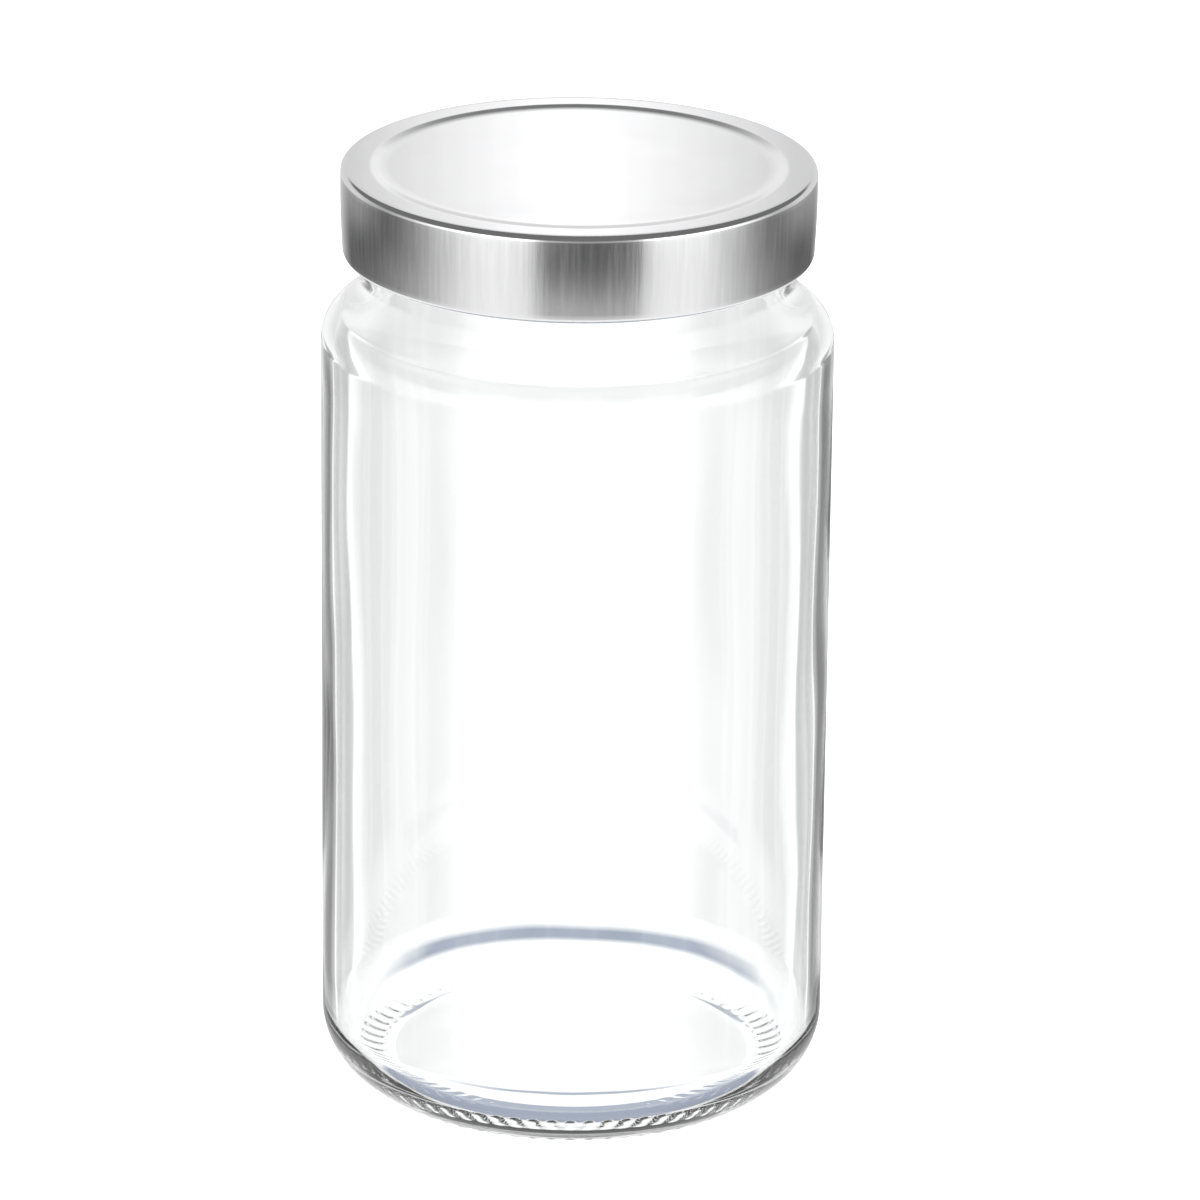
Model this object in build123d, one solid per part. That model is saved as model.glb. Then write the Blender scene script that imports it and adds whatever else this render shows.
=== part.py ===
"""Empty candle jar: a straight glass jar with a short lug-thread neck and a twist-off tinplate lid.

Three separate pieces, each written as its own node: the glass jar, the pressed tinplate lid shell,
and the sealing gasket that is flowed into the channel inside the lid. The frame is +Z up, with the
origin at the centre of the ring that the jar stands on. The lid is seated but not yet twisted tight:
its lugs hang in the gaps between the thread segments. All lengths are in millimetres.
"""

import os
from math import cos, radians, sin, tan

from build123d import *

# ---- glass jar -------------------------------------------------------------------------------
BODY_RADIUS = 46.0  # straight outside wall
WALL = 2.6  # side wall thickness
HEEL_RADIUS = 12.3  # outside rounding between wall and base
INNER_HEEL_RADIUS = 9.0  # inside rounding between wall and floor
STAND_RADIUS = 32.4  # inner edge of the flat ring that the jar stands on
STAND_ROUNDING = 3.0  # soft bend at that edge
PUSH_UP = 1.4  # how far the middle of the floor is pushed up
PUSH_UP_RADIUS = 16.0  # the middle is flat to here, then slopes down to the ring
PUSH_UP_ROUNDING = 150.0  # very soft bend between the two
FLOOR_THICKNESS = 4.4  # the same all over
FLOOR_EDGE_RADIUS = 34.0  # foot of the inside slope

SHOULDER_START_Z = 141.2  # end of the straight wall
SHOULDER_RADIUS = 6.5  # rounding from wall to shoulder
INNER_SHOULDER_RADIUS = 4.5
SHOULDER_TURN = 57.0  # how far the wall leans over at the shoulder, degrees from vertical

NECK_RADIUS = 39.0  # plain neck, which is also the root of the thread
NECK_FILLET = 8.0  # hollow rounding from shoulder to neck
INNER_NECK_FILLET = 10.0
BORE_RADIUS = 36.2  # mouth
RIM_Z = 171.2  # sealing surface
RIM_OUTER_FILLET = 1.2
RIM_INNER_FILLET = 0.8

# ---- lug thread: sloping segments on the neck, with a gap after each --------------------------
LUG_COUNT = 6
THREAD_CREST_RADIUS = 40.15
THREAD_SPAN = 42.0  # degrees that one segment covers
THREAD_GAP = 360.0 / LUG_COUNT - THREAD_SPAN  # clear angle between two segments
THREAD_HEIGHT = 2.2  # at the root
THREAD_CREST_HEIGHT = 1.1
THREAD_RISE = 1.5  # the segment climbs this much towards its entry end
THREAD_BITE = 0.6  # how deep the segment's section is sunk into the neck

# ---- knurled bearing ring -----------------------------------------------------------------------
KNURL_COUNT = 72
KNURL_INNER_RADIUS = 35.0
KNURL_BEND_RADIUS = 36.4  # level with the standing ring to here, then up the heel
KNURL_OUTER_RADIUS = 40.0
KNURL_OUTER_Z = 1.4  # underside of a knurl at its outer end
KNURL_WIDTH = 1.1
KNURL_SINK = 1.6  # how far a knurl's block reaches up into the glass

# ---- lid shell ----------------------------------------------------------------------------------
SHEET = 0.3  # tinplate thickness
LID_TOP_Z = 173.3
LID_BOTTOM_Z = 157.4
LID_TOP_RADIUS = 42.55  # outside of the skirt under the rounded edge
LID_BOTTOM_RADIUS = 42.15
LID_EDGE_RADIUS = 1.0  # rounding between the top and the skirt
STEP_OUTER_RADIUS = 37.2  # top of the shallow slope down to the panel
STEP_INNER_RADIUS = 34.7  # foot of the slope
STEP_DEPTH = 0.25
STEP_FILLET = 6.0  # soft bend at the top of the slope
PANEL_FILLET = 25.0  # softer bend at its foot
CURL_RADIUS = 0.85  # the bottom edge is rolled inwards to this outside radius
CURL_GAP = 0.5  # slit between the end of the roll and the skirt
LUG_SPAN = 12.0  # degrees
LUG_TIP_RADIUS = 39.35
LUG_THICKNESS = 1.1
LUG_HEIGHT = 1.8  # top of a lug above the lid's bottom edge
LUG_TOP_Z = LID_BOTTOM_Z + LUG_HEIGHT

# ---- gasket and running gaps --------------------------------------------------------------------
GASKET_INNER_RADIUS = 35.6
GASKET_OUTER_RADIUS = 41.0
GASKET_FILLET = 0.6  # outer corners
GASKET_LIP_FILLET = 0.2  # thin inner edge
GASKET_GAP = 0.08  # to the tinplate all over
SEAT_GAP = 0.1  # between gasket and rim
LUG_CLEARANCE = 0.3  # between a lug and the thread above it when twisted tight

SHEET_BOTTOM_Z = LID_TOP_Z - SHEET  # underside of the lid's top


def revolved(corners):
    """Solid of revolution about Z. Each corner of its closed section is (radius, z, rounding)."""
    points = [(radius, z) for radius, z, _ in corners]
    roundings = [rounding for _, _, rounding in corners]
    with BuildPart() as ring:
        with BuildSketch(Plane.XZ):
            with BuildLine():
                FilletPolyline(points, radius=roundings, close=True)
            make_face()
        revolve(axis=Axis.Z)
    return ring.part


def around(solid, count):
    """The solid and its copies, evenly spaced about Z."""
    return [Rot(0, 0, 360.0 / count * i) * solid for i in range(count)]


def make_glass_body():
    """Plain jar: the outside from the base's centre to the rim, then the inside back down."""
    lean = radians(SHOULDER_TURN)
    corner_z = SHOULDER_START_Z + SHOULDER_RADIUS * tan(lean / 2)
    neck_z = corner_z + (BODY_RADIUS - NECK_RADIUS) / tan(lean)
    inner_radius = BODY_RADIUS - WALL
    # The inside of the shoulder is one wall thickness away from the outside, square to the slope.
    shift = WALL * (1 - cos(lean)) / sin(lean)
    inner_corner_z = corner_z - shift
    inner_neck_z = inner_corner_z + (inner_radius - BORE_RADIUS) / tan(lean)
    return revolved(
        [
            (0, PUSH_UP, 0),
            (PUSH_UP_RADIUS, PUSH_UP, PUSH_UP_ROUNDING),
            (STAND_RADIUS, 0, STAND_ROUNDING),
            (BODY_RADIUS, 0, HEEL_RADIUS),
            (BODY_RADIUS, corner_z, SHOULDER_RADIUS),
            (NECK_RADIUS, neck_z, NECK_FILLET),
            (NECK_RADIUS, RIM_Z, RIM_OUTER_FILLET),
            (BORE_RADIUS, RIM_Z, RIM_INNER_FILLET),
            (BORE_RADIUS, inner_neck_z, INNER_NECK_FILLET),
            (inner_radius, inner_corner_z, INNER_SHOULDER_RADIUS),
            (inner_radius, FLOOR_THICKNESS, INNER_HEEL_RADIUS),
            (FLOOR_EDGE_RADIUS, FLOOR_THICKNESS, STAND_ROUNDING),
            (PUSH_UP_RADIUS, PUSH_UP + FLOOR_THICKNESS, PUSH_UP_ROUNDING),
            (0, PUSH_UP + FLOOR_THICKNESS, 0),
        ]
    )


def make_thread_segment():
    """One sloping ridge, starting THREAD_GAP / 2 before the X axis and climbing towards it."""
    low_z = LUG_TOP_Z + LUG_CLEARANCE + THREAD_HEIGHT / 2
    turn = THREAD_SPAN / 360.0
    with BuildPart() as ridge:
        with BuildLine() as path:
            Helix(THREAD_RISE / turn, THREAD_RISE, NECK_RADIUS, center=(0, 0, low_z))
        with BuildSketch(Plane.XZ):
            Polygon(
                (NECK_RADIUS - THREAD_BITE, low_z - THREAD_HEIGHT / 2),
                (THREAD_CREST_RADIUS, low_z - THREAD_CREST_HEIGHT / 2),
                (THREAD_CREST_RADIUS, low_z + THREAD_CREST_HEIGHT / 2),
                (NECK_RADIUS - THREAD_BITE, low_z + THREAD_HEIGHT / 2),
                align=None,
            )
        sweep(path=path.line, is_frenet=True)
    return Rot(0, 0, -THREAD_SPAN - THREAD_GAP / 2) * ridge.part


def make_knurl():
    """One small radial bar under the base, level at first and then rising with the heel."""
    with BuildPart() as bar:
        with BuildSketch(Plane.XZ.offset(-KNURL_WIDTH / 2)):
            Polygon(
                (KNURL_INNER_RADIUS, 0),
                (KNURL_BEND_RADIUS, 0),
                (KNURL_OUTER_RADIUS, KNURL_OUTER_Z),
                (KNURL_OUTER_RADIUS, KNURL_OUTER_Z + KNURL_SINK),
                (KNURL_INNER_RADIUS, KNURL_SINK),
                align=None,
            )
        extrude(amount=KNURL_WIDTH)
    return bar.part


def make_glass_jar():
    """Jar body with its thread segments and knurls fused on."""
    threads = around(make_thread_segment(), LUG_COUNT)
    knurls = around(make_knurl(), KNURL_COUNT)
    return make_glass_body() + threads + knurls


def make_lid_skin():
    """Top and skirt of the lid as one thin sheet, open at the bottom."""
    curl_z = LID_BOTTOM_Z + CURL_RADIUS
    panel_z = LID_TOP_Z - STEP_DEPTH
    return revolved(
        [
            (0, panel_z, 0),
            (STEP_INNER_RADIUS, panel_z, PANEL_FILLET),
            (STEP_OUTER_RADIUS, LID_TOP_Z, STEP_FILLET),
            (LID_TOP_RADIUS, LID_TOP_Z, LID_EDGE_RADIUS),
            (LID_BOTTOM_RADIUS, curl_z, 0),
            (LID_BOTTOM_RADIUS - SHEET, curl_z, 0),
            (LID_TOP_RADIUS - SHEET, SHEET_BOTTOM_Z, LID_EDGE_RADIUS - SHEET),
            (STEP_OUTER_RADIUS, SHEET_BOTTOM_Z, STEP_FILLET),
            (STEP_INNER_RADIUS, panel_z - SHEET, PANEL_FILLET),
            (0, panel_z - SHEET, 0),
        ]
    )


def make_curl():
    """Rolled bottom edge: a thin tube with a slit on its inner top side."""
    centre = (LID_BOTTOM_RADIUS - CURL_RADIUS, LID_BOTTOM_Z + CURL_RADIUS)
    slit = (LID_BOTTOM_RADIUS - SHEET - CURL_GAP / 2, centre[1] + CURL_RADIUS / 2)
    with BuildPart() as roll:
        with BuildSketch(Plane.XZ):
            with Locations(centre):
                Circle(CURL_RADIUS)
                Circle(CURL_RADIUS - SHEET, mode=Mode.SUBTRACT)
            with Locations(slit):
                Rectangle(CURL_GAP, CURL_RADIUS, mode=Mode.SUBTRACT)
        revolve(axis=Axis.Z)
    return roll.part


def make_lug():
    """One lug: a tab that the roll is flattened into, centred on the X axis."""
    root_radius = LID_BOTTOM_RADIUS - CURL_RADIUS
    middle_z = LUG_TOP_Z - LUG_THICKNESS / 2
    with BuildPart() as tab:
        with BuildSketch(Plane.XZ):
            with Locations(((LUG_TIP_RADIUS + root_radius) / 2, middle_z)):
                RectangleRounded(root_radius - LUG_TIP_RADIUS, LUG_THICKNESS, LUG_THICKNESS / 4)
        revolve(axis=Axis.Z, revolution_arc=LUG_SPAN)
    return Rot(0, 0, -LUG_SPAN / 2) * tab.part


def make_lid_shell():
    """Tinplate lid: skin, rolled edge and lugs."""
    return make_lid_skin() + make_curl() + around(make_lug(), LUG_COUNT)


def make_sealing_gasket():
    """Ring that fills the channel under the lid's rim and lies flat on the jar's rim."""
    bottom_z = RIM_Z + SEAT_GAP
    top_z = SHEET_BOTTOM_Z - GASKET_GAP
    slope = STEP_DEPTH / (STEP_OUTER_RADIUS - STEP_INNER_RADIUS)
    inner_top_z = top_z - slope * (STEP_OUTER_RADIUS - GASKET_INNER_RADIUS)
    return revolved(
        [
            (GASKET_INNER_RADIUS, bottom_z, GASKET_LIP_FILLET),
            (GASKET_OUTER_RADIUS, bottom_z, GASKET_FILLET),
            (GASKET_OUTER_RADIUS, top_z, GASKET_FILLET),
            (STEP_OUTER_RADIUS, top_z, STEP_FILLET),
            (GASKET_INNER_RADIUS, inner_top_z, GASKET_LIP_FILLET),
        ]
    )


os.makedirs("parts", exist_ok=True)
export_step(make_glass_jar(), "parts/glass_jar.step")
export_step(make_lid_shell(), "parts/lid_shell.step")
export_step(make_sealing_gasket(), "parts/sealing_gasket.step")
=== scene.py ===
"""Empty candle jar: clear glass jar, satin tinplate twist-off lid and its plastisol gasket.

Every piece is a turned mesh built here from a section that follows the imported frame's sizes. Lengths
are in metres, in the frame's own axes: +Z up, the jar standing on z = 0, the camera looking along +Y.
"""

import math

import bpy
import numpy as np
from mathutils import Matrix, Vector


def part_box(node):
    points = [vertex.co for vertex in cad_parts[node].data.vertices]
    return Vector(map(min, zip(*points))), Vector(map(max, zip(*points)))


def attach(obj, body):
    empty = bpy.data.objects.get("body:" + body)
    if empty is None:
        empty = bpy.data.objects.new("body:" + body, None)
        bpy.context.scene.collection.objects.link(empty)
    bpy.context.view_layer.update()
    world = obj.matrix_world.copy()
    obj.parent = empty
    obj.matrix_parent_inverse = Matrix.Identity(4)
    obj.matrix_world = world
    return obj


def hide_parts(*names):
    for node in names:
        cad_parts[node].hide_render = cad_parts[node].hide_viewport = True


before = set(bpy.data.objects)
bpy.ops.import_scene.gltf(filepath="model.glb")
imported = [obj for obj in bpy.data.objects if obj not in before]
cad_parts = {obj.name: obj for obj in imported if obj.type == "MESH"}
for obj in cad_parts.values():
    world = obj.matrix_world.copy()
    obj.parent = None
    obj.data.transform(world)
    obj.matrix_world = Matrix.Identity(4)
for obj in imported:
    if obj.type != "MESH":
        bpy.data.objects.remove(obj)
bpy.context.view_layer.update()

MM = 0.001

# ---- sizes read from the frame -------------------------------------------------------------------
_, JAR_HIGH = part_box("glass_jar")
LID_LOW, LID_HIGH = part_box("lid_shell")
SEAL_LOW, SEAL_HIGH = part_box("sealing_gasket")
BODY_RADIUS = JAR_HIGH.x
RIM_Z = JAR_HIGH.z
LID_RADIUS = LID_HIGH.x
LID_TOP = LID_HIGH.z
LID_BOTTOM = LID_LOW.z

# ---- glass jar -----------------------------------------------------------------------------------
WALL = 2.55 * MM
HEEL_RADIUS = 12.3 * MM
INNER_HEEL_RADIUS = 9.0 * MM
STAND_RADIUS = 32.4 * MM
STAND_ROUNDING = 3 * MM
PUSH_UP = 1.4 * MM
PUSH_UP_RADIUS = 16 * MM
PUSH_UP_ROUNDING = 150 * MM
FLOOR_THICKNESS = 4.4 * MM
FLOOR_EDGE_RADIUS = 34 * MM
SHOULDER_START = 141.2 * MM
SHOULDER_RADIUS = 6.5 * MM
INNER_SHOULDER_RADIUS = 4.5 * MM
SHOULDER_TURN = math.radians(57)
NECK_RADIUS = 39.0 * MM
NECK_FILLET = 8.0 * MM
BORE_RADIUS = 36.2 * MM
BORE_FILLET = 10.0 * MM
RIM_OUTER_ROUNDING = 1.2 * MM
RIM_INNER_ROUNDING = 0.8 * MM
JAR_COLUMNS = 432

THREAD_COUNT = 6
THREAD_SPAN = math.radians(42)
THREAD_GAP = math.tau / THREAD_COUNT - THREAD_SPAN
THREAD_DEPTH = 1.1 * MM
THREAD_HALF_HEIGHT = 1.05 * MM
THREAD_RISE = 1.5 * MM
THREAD_TAPER = 0.1  # share of a segment's length over which each end fades out
THREAD_LOW_Z = LID_BOTTOM + 3.2 * MM  # middle of a thread segment at its low, tight end

KNURL_COUNT = 72
KNURL_INNER = 34.8 * MM
KNURL_OUTER = 40.2 * MM
KNURL_HEIGHT = 0.22 * MM
KNURL_FADE = 0.6 * MM

SEAM_Z = 147.0 * MM  # faint parting line of the mould, where the shoulder's rounding ends
SEAM_DEPTH = 0.07 * MM
SEAM_HALF_WIDTH = 0.35 * MM

RIPPLE_DEPTH = 0.05 * MM  # unevenness of the inside wall
RIPPLE_FADE_IN = (16 * MM, 40 * MM)  # heights over which it starts, above the heel
RIPPLE_FADE_OUT = 20 * MM  # height over which it ends, below the shoulder

# ---- lid -----------------------------------------------------------------------------------------
SHEET = 0.3 * MM  # thickness of the tinplate
LID_BOTTOM_RADIUS = 42.15 * MM
LID_EDGE_RADIUS = 1.0 * MM
SKIRT_BULGE = 0.12 * MM
STEP_OUTER = 37.2 * MM
STEP_INNER = 34.7 * MM
STEP_DEPTH = 0.25 * MM
STEP_FILLET = 6 * MM
PANEL_FILLET = 25 * MM
CURL_RADIUS = 0.85 * MM
CURL_STEP = 12  # degrees between points round the roll
CURL_END = 286  # degrees from the skirt, round the roll, to where its edge stops
LUG_TIP_RADIUS = 39.35 * MM
LUG_HALF_SPAN = math.radians(6)
LUG_LIFT = 0.1 * MM
LUG_FLATTENING = 0.42  # how much of the roll's height the press takes out of a lug
LID_COLUMNS = 540

# ---- gasket --------------------------------------------------------------------------------------
GASKET_INNER = 35.6 * MM
GASKET_OUTER_ROUNDING = 0.6 * MM
GASKET_INNER_ROUNDING = 0.25 * MM
GASKET_COLUMNS = 240
GROOVE_DEPTH = 0.05 * MM  # mark of the jar's rim in the compound
GROOVE_HALF_WIDTH = 1 * MM
EDGE_WANDER = 0.06 * MM  # unevenness of the inner edge

# ---- camera, from the photo's point of view ------------------------------------------------------
LENS_MM = 232.4
CAMERA_DISTANCE = 1.4051
CAMERA_PITCH = math.radians(20.525)
CAMERA_YAW = math.radians(0.184)
CAMERA_ROLL = math.radians(0.547)
CAMERA_AIM_Z = 0.09076

# ---- floor and studio light ----------------------------------------------------------------------
FLOOR_SIZE = 12
FLOOR_GAP = 0.2 * MM  # the table lies this far under the jar, so that the two never share a plane
# Brightness of what metal mirrors, by degrees either side of a line just right of the camera.
SIDE_PANEL_CENTRE = 5.5
SIDE_PANELS = [
    (0, 0.10),
    (12, 0.13),
    (20, 0.18),
    (23, 0.28),
    (27, 0.7),
    (32, 1.0),
    (48, 1.12),
    (57, 1.05),
    (68, 0.78),
    (82, 0.48),
    (92, 0.28),
    (105, 0.15),
    (125, 0.06),
    (152, 0.07),
    (162, 0.3),
    (180, 0.8),
]
NEAR_LEVEL = (-0.29, -0.15)  # heights over which the side panels get brighter upwards
CEILING = 0.2
BACKDROP_GLOW = 0.84
TABLE_BRIGHTNESS = 1.2
# Share of bright table in what metal mirrors, by the sine of the angle below level.
TABLE_GLOW = [
    (0.315, 0.0),
    (0.335, 0.05),
    (0.38, 0.16),
    (0.41, 0.28),
    (0.418, 0.4),
    (0.44, 0.6),
    (0.55, 1.0),
    (1.0, 1.0),
]
# The stacked light behind the jar, in metres.
BACK_LIGHT_STEPS = 8
BACK_LIGHT_WIDTH = 0.09
BACK_LIGHT_HEIGHT = 0.044
BACK_LIGHT_DISTANCE = 0.25
BACK_LIGHT_SIDE = -0.0015
BACK_LIGHT_RAISE = 0.082
BACK_LIGHT_BRIGHTNESS = 0.6
# Brightness seen through the walls, by degrees from the nearest of eight evenly spaced directions.
STRIPE_DIRECTIONS = 8
STRIPES = [
    (0, 1.3),
    (1.2, 1.3),
    (2.4, 1.08),
    (3.2, 1.0),
    (5, 0.96),
    (8, 0.98),
    (9.5, 1.25),
    (10.9, 1.5),
    (11.8, 0.72),
    (14.5, 0.6),
    (17.5, 0.27),
    (22.5, 0.27),
]
OPEN_ROOM = 1.25  # brightness seen through glass well above and well below those stripes
# Seen through glass, from a little below level up to a little above: dimmer towards the top.
UPPER_SHADE = [(0, 1), (0.12, 1), (0.2, 0.8), (0.35, 0.8), (0.67, 0.6), (1, 0.6)]
# Share of shaded blue-grey table seen through glass, by the sine of the angle below level.
FAR_TABLE_SHADE = [(0.44, 0.0), (0.453, 1.0), (0.470, 1.0), (0.482, 0.0)]
STEEP_TABLE_SHADE = [(0.70, 0.0), (0.73, 1.0), (1.0, 1.0)]
FAR_TABLE_EDGES = (0.03, 0.07)  # sideways over ahead: where the far shade starts and stops fading
TABLE_SHADE_TINT = (0.30, 0.34, 0.43, 1)


# ---- turned meshes -------------------------------------------------------------------------------
def arc_points(before, corner, after, radius, step):
    """Points on the arc that rounds a corner between two straight runs."""
    back = (before - corner) / np.linalg.norm(before - corner)
    ahead = (after - corner) / np.linalg.norm(after - corner)
    half = math.acos(float(np.clip(back @ ahead, -1, 1))) / 2
    reach = radius / math.tan(half)
    middle = (back + ahead) / np.linalg.norm(back + ahead)
    centre = corner + middle * radius / math.sin(half)
    start = corner + back * reach - centre
    sweep = math.pi - 2 * half
    if start[0] * back[1] - start[1] * back[0] > 0:
        sweep = -sweep
    count = max(2, math.ceil(abs(sweep) / step))
    turns = np.linspace(0, sweep, count + 1)
    cos, sin = np.cos(turns), np.sin(turns)
    return centre + np.stack([start[0] * cos - start[1] * sin, start[0] * sin + start[1] * cos], 1)


def section(corners):
    """Open section from (radius, z, rounding, arc step in degrees, spacing of the run after it)."""
    points = [np.array(c[:2], float) for c in corners]
    path = [points[0]]
    for i, (_, _, rounding, step, _) in enumerate(corners):
        if 0 < i < len(corners) - 1 and rounding:
            around = points[i - 1 : i + 2]
            stretch = list(arc_points(*around, rounding, math.radians(step)))
        else:
            stretch = [points[i]]
        spacing = corners[i - 1][4] if i else 1.0
        run = stretch[0] - path[-1]
        pieces = max(1, round(float(np.linalg.norm(run)) / spacing))
        path += [path[-1] + run * k / pieces for k in range(1, pieces)]
        path += stretch if i else []
    return np.array(path)


def lathe(name, points, columns, shape):
    """Closed turned mesh. shape(radii, heights, angle) may move the section at each angle."""
    on_axis = points[:, 0] < 1e-9
    angles = np.linspace(0, math.tau, columns, endpoint=False)
    verts = []
    index = np.zeros((len(points), columns), int)
    rows = np.array([shape(points[:, 0].copy(), points[:, 1].copy(), a) for a in angles])
    for i in range(len(points)):
        if on_axis[i]:
            index[i, :] = len(verts)
            verts.append((0.0, 0.0, float(rows[0, 1, i])))
            continue
        index[i, :] = len(verts) + np.arange(columns)
        radii, heights = rows[:, 0, i], rows[:, 1, i]
        verts += list(zip(radii * np.cos(angles), radii * np.sin(angles), heights))
    faces = []
    closed = not on_axis[0]
    for i in range(len(points) if closed else len(points) - 1):
        low, high = index[i], index[(i + 1) % len(points)]
        for j in range(columns):
            k = (j + 1) % columns
            loop = [low[j], low[k], high[k], high[j]]
            faces.append([int(v) for v in dict.fromkeys(loop)])
    mesh = bpy.data.meshes.new(name)
    mesh.from_pydata(verts, [], faces)
    mesh.validate()
    mesh.shade_smooth()
    piece = bpy.data.objects.new(name, mesh)
    bpy.context.scene.collection.objects.link(piece)
    return piece


def smooth(x, low, high):
    """0 below low, 1 above high, eased in between."""
    t = np.clip((x - low) / (high - low), 0, 1)
    return t * t * (3 - 2 * t)


# ---- glass jar -----------------------------------------------------------------------------------
def jar_section():
    """Outside from the underside's centre up to the rim, then the inside back down to the floor."""
    corner_z = SHOULDER_START + SHOULDER_RADIUS * math.tan(SHOULDER_TURN / 2)
    neck_z = corner_z + (BODY_RADIUS - NECK_RADIUS) / math.tan(SHOULDER_TURN)
    inner = BODY_RADIUS - WALL
    inner_z = corner_z - WALL * math.tan(SHOULDER_TURN / 2)
    inner_neck_z = inner_z + (inner - BORE_RADIUS) / math.tan(SHOULDER_TURN)
    coarse, middling, fine = 8 * MM, 2 * MM, 0.54 * MM
    return section(
        [
            (0, PUSH_UP, 0, 0, coarse),
            (PUSH_UP_RADIUS, PUSH_UP, PUSH_UP_ROUNDING, 0.6, middling),
            (STAND_RADIUS, 0, STAND_ROUNDING, 2.5, middling),
            (BODY_RADIUS, 0, HEEL_RADIUS, 3, coarse),
            (BODY_RADIUS, corner_z, SHOULDER_RADIUS, 3, fine / 3),
            (NECK_RADIUS, neck_z, NECK_FILLET, 4.5, fine),
            (NECK_RADIUS, RIM_Z, RIM_OUTER_ROUNDING, 15, middling),
            (BORE_RADIUS, RIM_Z, RIM_INNER_ROUNDING, 18, middling * 2),
            (BORE_RADIUS, inner_neck_z, BORE_FILLET, 5, middling),
            (inner, inner_z, INNER_SHOULDER_RADIUS, 6, coarse),
            (inner, FLOOR_THICKNESS, INNER_HEEL_RADIUS, 5, middling * 2),
            (FLOOR_EDGE_RADIUS, FLOOR_THICKNESS, STAND_ROUNDING, 2.5, middling),
            (PUSH_UP_RADIUS, PUSH_UP + FLOOR_THICKNESS, PUSH_UP_ROUNDING, 0.6, coarse),
            (0, PUSH_UP + FLOOR_THICKNESS, 0, 0, coarse),
        ]
    )


def thread_height(z, angle):
    """How far the thread stands out of the neck at a height and an angle."""
    pitch = math.tau / THREAD_COUNT
    along = (angle + THREAD_GAP / 2 + THREAD_SPAN) % pitch / THREAD_SPAN
    if along > 1:
        return np.zeros_like(z)
    ends = smooth(along, 0, THREAD_TAPER) * smooth(1 - along, 0, THREAD_TAPER)
    middle = THREAD_LOW_Z + THREAD_RISE * along
    away = np.abs(z - middle)
    return THREAD_DEPTH * ends * smooth(THREAD_HALF_HEIGHT - away, 0, THREAD_HALF_HEIGHT * 0.8)


def jar_shape(radii, heights, angle):
    """Thread, knurled ring and the slight unevenness of pressed and blown glass."""
    count = len(radii)
    outside = np.arange(count) < int(np.argmax(heights >= RIM_Z - 1e-7))
    inside = ~outside & (heights < RIM_Z - 3 * MM)
    neck = outside & (np.abs(radii - NECK_RADIUS) < 0.01 * MM)
    ring = outside & (radii > KNURL_INNER) & (radii < KNURL_OUTER) & (heights < HEEL_RADIUS)
    radii[neck] += thread_height(heights[neck], angle)
    across = 0.5 + 0.5 * math.cos(KNURL_COUNT * angle)
    share = smooth(radii[ring] - KNURL_INNER, 0, KNURL_FADE)
    share *= smooth(KNURL_OUTER - radii[ring], 0, KNURL_FADE)
    heights[ring] = np.maximum(0, heights[ring] - KNURL_HEIGHT * share * across**1.5)
    seam = outside & (np.abs(heights - SEAM_Z) < SEAM_HALF_WIDTH)
    broken = 0.5 + 0.5 * math.sin(11 * angle + 2 * math.sin(5 * angle) + 0.7)
    bulge = np.cos((heights[seam] - SEAM_Z) / SEAM_HALF_WIDTH * math.pi / 2)
    radii[seam] -= SEAM_DEPTH * broken * bulge
    ripple = np.sin(3 * angle + 40 * heights) + 0.6 * np.sin(7 * angle - 90 * heights + 1.3)
    share = smooth(heights, *RIPPLE_FADE_IN) * smooth(SHOULDER_START - heights, 0, RIPPLE_FADE_OUT)
    radii[inside] += RIPPLE_DEPTH * (share * ripple)[inside]
    return radii, heights


def make_glass_jar():
    jar = lathe("jar_glass", jar_section(), JAR_COLUMNS, jar_shape)
    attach(jar, "jar")
    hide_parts("glass_jar")
    return jar


# ---- lid -----------------------------------------------------------------------------------------
def lid_section():
    """Closed section: top face outwards, skirt down, round the rolled edge, then the underside back."""
    panel = LID_TOP - STEP_DEPTH
    curl_z = LID_BOTTOM + CURL_RADIUS
    curl_r = LID_BOTTOM_RADIUS - CURL_RADIUS
    coarse, fine = 4 * MM, 0.9 * MM
    top = section(
        [
            (0, panel, 0, 0, coarse),
            (STEP_INNER, panel, PANEL_FILLET, 0.6, fine),
            (STEP_OUTER, LID_TOP, STEP_FILLET, 1.2, fine),
            (LID_RADIUS, LID_TOP, LID_EDGE_RADIUS, 6, fine),
            (LID_BOTTOM_RADIUS, curl_z, 0, 0, fine),
        ]
    )
    roll = np.radians(np.arange(-CURL_STEP, -CURL_END, -CURL_STEP))
    outer_roll = np.stack([curl_r + CURL_RADIUS * np.cos(roll), curl_z + CURL_RADIUS * np.sin(roll)], 1)
    inside = CURL_RADIUS - SHEET
    inner_roll = np.stack([curl_r + inside * np.cos(roll), curl_z + inside * np.sin(roll)], 1)[::-1]
    under = section(
        [
            (LID_BOTTOM_RADIUS - SHEET, curl_z, 0, 0, fine),
            (LID_RADIUS - SHEET, LID_TOP - SHEET, LID_EDGE_RADIUS - SHEET, 9, fine),
            (STEP_OUTER, LID_TOP - SHEET, STEP_FILLET, 2, fine),
            (STEP_INNER, panel - SHEET, PANEL_FILLET, 2, coarse),
            (0, panel - SHEET, 0, 0, coarse),
        ]
    )
    return np.concatenate([top, outer_roll, inner_roll, under])


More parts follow.
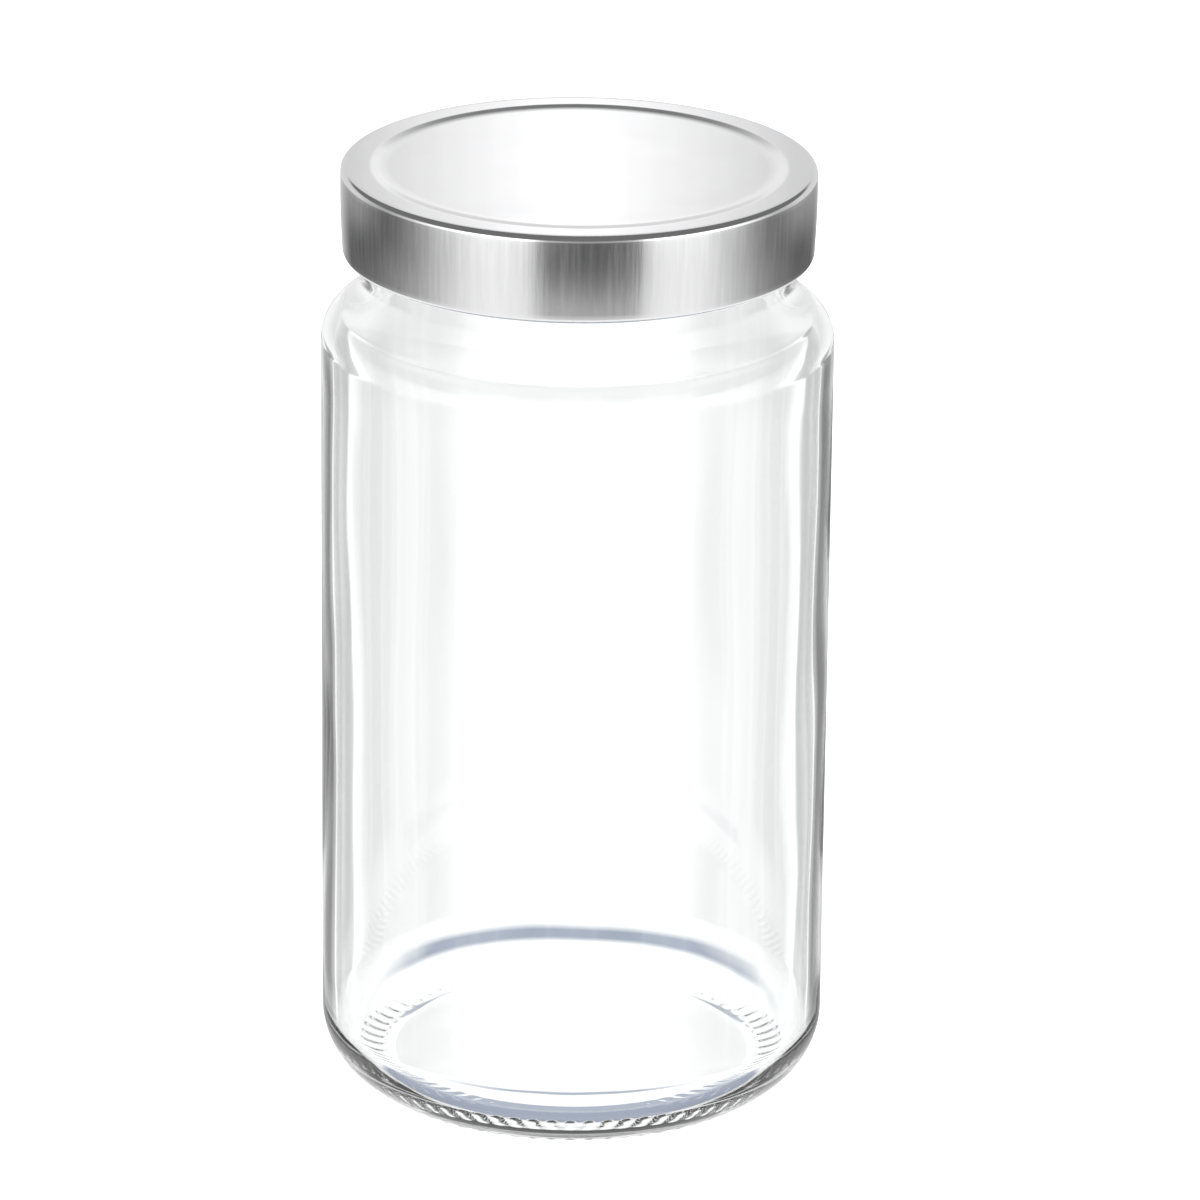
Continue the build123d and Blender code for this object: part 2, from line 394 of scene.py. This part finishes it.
def lid_shape(radii, heights, angle):
    """Lugs pressed inwards from the roll, and a slight outward bulge of the skirt."""
    curl_z = LID_BOTTOM + CURL_RADIUS
    curl_r = LID_BOTTOM_RADIUS - CURL_RADIUS
    pitch = math.tau / THREAD_COUNT
    away = abs((angle + pitch / 2) % pitch - pitch / 2)
    press = float(1 - smooth(np.array(away), LUG_HALF_SPAN * 0.7, LUG_HALF_SPAN * 1.1))
    rolled = (heights < curl_z + CURL_RADIUS * 1.01) & (radii < curl_r)
    reach = (curl_r - radii[rolled]) / CURL_RADIUS
    radii[rolled] -= press * reach * (curl_r - CURL_RADIUS - LUG_TIP_RADIUS)
    heights[rolled] += press * reach * (LUG_LIFT - LUG_FLATTENING * (heights[rolled] - curl_z))
    share = np.clip((heights - curl_z) / (LID_TOP - LID_EDGE_RADIUS - curl_z), 0, 1)
    skirt = radii > LID_BOTTOM_RADIUS - 2 * SHEET
    radii[skirt] += SKIRT_BULGE * np.sin(math.pi * share[skirt])
    return radii, heights


def make_lid():
    lid = lathe("lid_tinplate", lid_section(), LID_COLUMNS, lid_shape)
    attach(lid, "lid")
    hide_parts("lid_shell")
    return lid


# ---- gasket --------------------------------------------------------------------------------------
def gasket_section():
    """Flowed-in ring: flat where it meets the glass, following the lid's slope on top."""
    outer, low, high = SEAL_HIGH.x, SEAL_LOW.z, SEAL_HIGH.z
    lip = high - STEP_DEPTH * (STEP_OUTER - GASKET_INNER) / (STEP_OUTER - STEP_INNER)
    fine = 0.8 * MM
    start = (GASKET_INNER + 0.5 * MM, low)
    corners = [
        (*start, 0, 0, fine),
        (outer, low, GASKET_OUTER_ROUNDING, 15, fine),
        (outer, high, GASKET_OUTER_ROUNDING, 15, fine),
        (STEP_OUTER, high, STEP_FILLET, 2, fine),
        (GASKET_INNER, lip, GASKET_INNER_ROUNDING, 30, fine),
        (GASKET_INNER, low, GASKET_INNER_ROUNDING, 30, fine),
        (*start, 0, 0, fine),
    ]
    return section(corners)[:-1]


def gasket_shape(radii, heights, angle):
    """The groove that the rim presses into the compound, and a slightly wandering inner edge."""
    under = heights < SEAL_LOW.z + 0.05 * MM
    rim_middle = (NECK_RADIUS + BORE_RADIUS) / 2
    wander = EDGE_WANDER * math.sin(9 * angle) * math.sin(4 * angle + 1)
    radii[radii < GASKET_INNER + 0.3 * MM] += wander
    off_rim = (radii[under] - rim_middle) / GROOVE_HALF_WIDTH
    heights[under] += GROOVE_DEPTH * np.exp(-(off_rim**2))
    return radii, heights


def make_gasket():
    gasket = lathe("gasket_ring", gasket_section(), GASKET_COLUMNS, gasket_shape)
    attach(gasket, "seal")
    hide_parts("sealing_gasket")
    return gasket


# ---- node helpers --------------------------------------------------------------------------------
def new_material(name):
    """Material with one Principled shader; returns the material, its tree and the shader."""
    material = bpy.data.materials.new(name)
    material.use_nodes = True
    tree = material.node_tree
    return material, tree, tree.nodes["Principled BSDF"]


def math_node(tree, operation, *values, clamp=False):
    """One Math node; each value is a number or another node's output."""
    node = tree.nodes.new("ShaderNodeMath")
    node.operation = operation
    node.use_clamp = clamp
    for socket, value in zip(node.inputs, values):
        if isinstance(value, (int, float)):
            socket.default_value = value
        else:
            tree.links.new(value, socket)
    return node.outputs[0]


def stretched(tree, scale):
    """Object coordinates, scaled by a different amount along each axis."""
    coordinates = tree.nodes.new("ShaderNodeTexCoord")
    mapping = tree.nodes.new("ShaderNodeMapping")
    mapping.inputs["Scale"].default_value = scale
    tree.links.new(coordinates.outputs["Object"], mapping.inputs["Vector"])
    return mapping.outputs["Vector"]


def noise(tree, scale, detail=2.0, roughness=0.5):
    """Noise value from 0 to 1 at the given stretch, in cells per metre along each axis."""
    node = tree.nodes.new("ShaderNodeTexNoise")
    node.inputs["Scale"].default_value = 1.0
    node.inputs["Detail"].default_value = detail
    node.inputs["Roughness"].default_value = roughness
    tree.links.new(stretched(tree, scale), node.inputs["Vector"])
    return node.outputs["Fac"]


def ramp(tree, value, stops):
    """Grey ramp through (position, brightness) stops."""
    node = tree.nodes.new("ShaderNodeValToRGB")
    elements = node.color_ramp.elements
    for position, brightness in stops[:-2]:
        elements.new(position)
    for element, (position, brightness) in zip(elements, stops):
        element.position = position
    for element, (position, brightness) in zip(elements, stops):
        element.color = (brightness, brightness, brightness, 1)
    tree.links.new(value, node.inputs["Fac"])
    return node.outputs["Color"]


def spread(tree, value, low, high, to_low, to_high):
    """value from low..high taken to to_low..to_high, and held at the ends."""
    node = tree.nodes.new("ShaderNodeMapRange")
    tree.links.new(value, node.inputs["Value"])
    for name, number in zip(("From Min", "From Max", "To Min", "To Max"), (low, high, to_low, to_high)):
        node.inputs[name].default_value = number
    return node.outputs["Result"]


def bump(tree, shader, height, strength, distance):
    """Bump from a height value, into the shader's normal."""
    node = tree.nodes.new("ShaderNodeBump")
    node.inputs["Strength"].default_value = strength
    node.inputs["Distance"].default_value = distance
    tree.links.new(height, node.inputs["Height"])
    tree.links.new(node.outputs["Normal"], shader.inputs["Normal"])


# ---- materials -----------------------------------------------------------------------------------
def glass_material():
    """Clear container glass with faint cords and ripples left by the mould."""
    material, tree, shader = new_material("clear_glass")
    shader.inputs["Base Color"].default_value = (0.985, 0.995, 0.99, 1)
    shader.inputs["Roughness"].default_value = 0.0
    shader.inputs["IOR"].default_value = 1.52
    shader.inputs["Transmission Weight"].default_value = 1.0
    ripples = noise(tree, (60, 60, 25), detail=1.0)
    bump(tree, shader, ripples, 0.12, 0.0006)
    return material


def tinplate_material():
    """Satin tinplate: fine upright grain round the skirt and fine straight grain across the top."""
    material, tree, shader = new_material("satin_tinplate")
    shader.inputs["Metallic"].default_value = 1.0
    geometry = tree.nodes.new("ShaderNodeNewGeometry")
    parts = tree.nodes.new("ShaderNodeSeparateXYZ")
    tree.links.new(geometry.outputs["Normal"], parts.inputs[0])
    facing_up = spread(tree, math_node(tree, "ABSOLUTE", parts.outputs["Z"]), 0.6, 0.8, 0, 1)
    upright = noise(tree, (1100, 1100, 60), detail=3.0, roughness=0.6)
    straight = noise(tree, (2200, 60, 60), detail=2.0)
    side_grain = math_node(tree, "MULTIPLY", upright, math_node(tree, "SUBTRACT", 1.0, facing_up))
    top_grain = math_node(tree, "MULTIPLY", math_node(tree, "MULTIPLY", straight, 0.3), facing_up)
    grain = math_node(tree, "ADD", side_grain, top_grain)
    patches = noise(tree, (90, 90, 90), detail=2.0)
    satin = spread(tree, grain, 0.3, 0.7, 0.10, 0.17)
    uneven = math_node(tree, "ADD", satin, spread(tree, patches, 0.3, 0.7, -0.01, 0.02))
    tree.links.new(uneven, shader.inputs["Roughness"])
    tint = tree.nodes.new("ShaderNodeMix")
    tint.data_type = "RGBA"
    tint.inputs["A"].default_value = (0.725, 0.725, 0.735, 1)
    tint.inputs["B"].default_value = (0.76, 0.76, 0.765, 1)
    tree.links.new(spread(tree, grain, 0.3, 0.7, 0, 1), tint.inputs["Factor"])
    tree.links.new(tint.outputs["Result"], shader.inputs["Base Color"])
    bump(tree, shader, grain, 0.17, 0.00006)
    return material


def gasket_material():
    """Off-white plastisol: slightly waxy, with faint mottling and fine pores."""
    material, tree, shader = new_material("plastisol")
    shader.inputs["Roughness"].default_value = 0.5
    shader.inputs["Subsurface Weight"].default_value = 0.1
    shader.inputs["Subsurface Radius"].default_value = (0.001, 0.001, 0.001)
    mottling = noise(tree, (300, 300, 300), detail=3.0)
    tint = tree.nodes.new("ShaderNodeMix")
    tint.data_type = "RGBA"
    tint.inputs["A"].default_value = (0.80, 0.785, 0.74, 1)
    tint.inputs["B"].default_value = (0.88, 0.87, 0.83, 1)
    tree.links.new(spread(tree, mottling, 0.35, 0.65, 0, 1), tint.inputs["Factor"])
    tree.links.new(tint.outputs["Result"], shader.inputs["Base Color"])
    bump(tree, shader, noise(tree, (2500, 2500, 2500), detail=1.0), 0.3, 0.00005)
    return material


# ---- stage: floor, surroundings, light and camera ------------------------------------------------
def make_floor():
    """Pale lit table, left out of reflections and refractions, which see the surroundings instead."""
    bpy.ops.mesh.primitive_plane_add(size=FLOOR_SIZE, location=(0, 0, -FLOOR_GAP))
    floor = bpy.context.object
    floor.name = "floor"
    material, tree, shader = new_material("pale_table")
    shader.inputs["Base Color"].default_value = (0.9, 0.9, 0.9, 1)
    shader.inputs["Roughness"].default_value = 0.9
    shader.inputs["Specular IOR Level"].default_value = 0.0
    shader.inputs["Emission Color"].default_value = (1, 1, 1, 1)
    shader.inputs["Emission Strength"].default_value = 1.0
    floor.data.materials.append(material)
    floor.visible_glossy = False
    floor.visible_transmission = False


def looking_direction(tree):
    """Unit direction seen in the world: its x, y and z."""
    coordinates = tree.nodes.new("ShaderNodeTexCoord")
    parts = tree.nodes.new("ShaderNodeSeparateXYZ")
    tree.links.new(coordinates.outputs["Generated"], parts.inputs[0])
    return parts.outputs


def azimuth_from_front(tree, x, y):
    """Azimuth in degrees: 0 towards the camera, positive to its right."""
    azimuth = math_node(tree, "ARCTAN2", x, math_node(tree, "MULTIPLY", y, -1.0))
    return math_node(tree, "MULTIPLY", azimuth, 180 / math.pi)


def blend(tree, first, second, share):
    """first where share is 0, second where it is 1."""
    kept = math_node(tree, "MULTIPLY", first, math_node(tree, "SUBTRACT", 1.0, share))
    return math_node(tree, "ADD", kept, math_node(tree, "MULTIPLY", second, share))


def refracted_surroundings(tree, x, y, z):
    """Brightness seen through glass: lit all round, striped at the height seen through the walls."""
    half = 360.0 / STRIPE_DIRECTIONS / 2
    turned = math_node(tree, "ADD", azimuth_from_front(tree, x, y), half + 360)
    along = math_node(tree, "SUBTRACT", math_node(tree, "MODULO", turned, 2 * half), half)
    off_side = math_node(tree, "DIVIDE", math_node(tree, "ABSOLUTE", along), half)
    stripes = ramp(tree, off_side, [(angle / half, brightness) for angle, brightness in STRIPES])
    away = math_node(tree, "ABSOLUTE", math_node(tree, "ADD", z, math.sin(CAMERA_PITCH)))
    beside_walls = blend(tree, stripes, OPEN_ROOM, spread(tree, away, 0.05, 0.11, 0, 1))
    upper = ramp(tree, spread(tree, z, -0.4, 0.2, 0, 1), UPPER_SHADE)
    return math_node(tree, "MULTIPLY", beside_walls, upper)


def reflected_surroundings(tree, x, y, z):
    """Brightness mirrored by metal: panels beside the camera, a pale backdrop, a dark ceiling."""
    azimuth = azimuth_from_front(tree, x, y)
    off_axis = math_node(tree, "ABSOLUTE", math_node(tree, "SUBTRACT", azimuth, SIDE_PANEL_CENTRE))
    stops = [(angle / 180, brightness) for angle, brightness in SIDE_PANELS]
    sides = ramp(tree, math_node(tree, "DIVIDE", off_axis, 180.0), stops)
    table = ramp(tree, math_node(tree, "MULTIPLY", z, -1.0), TABLE_GLOW)
    upper_sides = math_node(tree, "MULTIPLY", sides, spread(tree, z, *NEAR_LEVEL, 1.0, 2.2))
    lifted = math_node(tree, "ADD", upper_sides, spread(tree, z, *NEAR_LEVEL, 0.0, 0.2))
    low = blend(tree, lifted, TABLE_BRIGHTNESS, table)
    level_or_up = spread(tree, z, -0.33, -0.25, 0, 1)
    behind = math_node(tree, "MULTIPLY", spread(tree, y, 0.25, 0.6, 0, 1), level_or_up)
    around = blend(tree, low, BACKDROP_GLOW, behind)
    return blend(tree, around, CEILING, spread(tree, z, 0.335, 0.40, 0, 1))


def make_surroundings():
    """White to the camera, even light for matt surfaces, and its own look in glass and in metal."""
    world = bpy.data.worlds.new("studio")
    bpy.context.scene.world = world
    world.use_nodes = True
    tree = world.node_tree
    background = tree.nodes["Background"]
    x, y, z = looking_direction(tree)
    path = tree.nodes.new("ShaderNodeLightPath")
    through = path.outputs["Is Transmission Ray"]
    mirrored = math_node(tree, "SUBTRACT", path.outputs["Is Glossy Ray"], through, clamp=True)
    refracted = refracted_surroundings(tree, x, y, z)
    reflected = reflected_surroundings(tree, x, y, z)
    through_share = math_node(tree, "MULTIPLY", through, math_node(tree, "SUBTRACT", refracted, 1.0))
    mirrored_share = math_node(tree, "MULTIPLY", mirrored, math_node(tree, "SUBTRACT", reflected, 1.0))
    total = math_node(tree, "ADD", math_node(tree, "ADD", through_share, mirrored_share), 1.0)
    tree.links.new(total, background.inputs["Strength"])
    downward = math_node(tree, "MULTIPLY", z, -1.0)
    off_middle = math_node(tree, "DIVIDE", math_node(tree, "ABSOLUTE", x), y)
    far_side = spread(tree, off_middle, *FAR_TABLE_EDGES, 1, 0)
    far_band = math_node(tree, "MULTIPLY", ramp(tree, downward, FAR_TABLE_SHADE), far_side)
    shade = math_node(tree, "ADD", far_band, ramp(tree, downward, STEEP_TABLE_SHADE), clamp=True)
    tint = tree.nodes.new("ShaderNodeMix")
    tint.data_type = "RGBA"
    tint.inputs["A"].default_value = (1, 1, 1, 1)
    tint.inputs["B"].default_value = TABLE_SHADE_TINT
    tree.links.new(math_node(tree, "MULTIPLY", shade, through), tint.inputs["Factor"])
    tree.links.new(tint.outputs["Result"], background.inputs["Color"])


def make_back_light():
    """Soft light behind the jar, above the picture, mirrored in the lid's top. It is brightest in the
    middle: a stack of narrower and narrower panels."""
    for i in range(BACK_LIGHT_STEPS):
        light = bpy.data.lights.new("back_light", "AREA")
        light.shape = "RECTANGLE"
        light.size = BACK_LIGHT_WIDTH * (i + 1) / BACK_LIGHT_STEPS
        light.size_y = BACK_LIGHT_HEIGHT
        light.energy = math.pi * light.size * light.size_y * BACK_LIGHT_BRIGHTNESS / BACK_LIGHT_STEPS
        panel = bpy.data.objects.new("back_light", light)
        panel.location = (BACK_LIGHT_SIDE, BACK_LIGHT_DISTANCE + i * MM, LID_TOP + BACK_LIGHT_RAISE)
        panel.rotation_euler = (math.radians(-90), 0, 0)
        panel.visible_camera = False
        panel.visible_transmission = False
        panel.visible_diffuse = False
        bpy.context.scene.collection.objects.link(panel)


def make_camera():
    """Long lens at the photo's height and angle."""
    data = bpy.data.cameras.new("camera")
    data.lens = LENS_MM
    data.sensor_width = 36
    data.clip_end = 50
    camera = bpy.data.objects.new("camera", data)
    level = Vector((0, math.cos(CAMERA_PITCH), -math.sin(CAMERA_PITCH)))
    right = Vector((1, 0, 0))
    up = right.cross(level)
    ahead = level * math.cos(CAMERA_YAW) + right * math.sin(CAMERA_YAW)
    side = right * math.cos(CAMERA_YAW) - level * math.sin(CAMERA_YAW)
    x_axis = side * math.cos(CAMERA_ROLL) + up * math.sin(CAMERA_ROLL)
    y_axis = up * math.cos(CAMERA_ROLL) - side * math.sin(CAMERA_ROLL)
    turn = Matrix((x_axis, y_axis, -ahead)).transposed()
    place = Vector((0, 0, CAMERA_AIM_Z)) - level * CAMERA_DISTANCE
    camera.matrix_world = Matrix.Translation(place) @ turn.to_4x4()
    bpy.context.scene.collection.objects.link(camera)
    bpy.context.scene.camera = camera


def set_view():
    """Plain view transform, and enough bounces for four glass walls and for the stacked light."""
    scene = bpy.context.scene
    scene.view_settings.view_transform = "Standard"
    scene.cycles.max_bounces = 24
    scene.cycles.transmission_bounces = 24
    scene.cycles.glossy_bounces = 12
    scene.cycles.transparent_max_bounces = 24


make_camera()
set_view()
make_floor()
make_surroundings()
make_back_light()
for piece, material in (
    (make_glass_jar(), glass_material()),
    (make_lid(), tinplate_material()),
    (make_gasket(), gasket_material()),
):
    piece.data.materials.append(material)
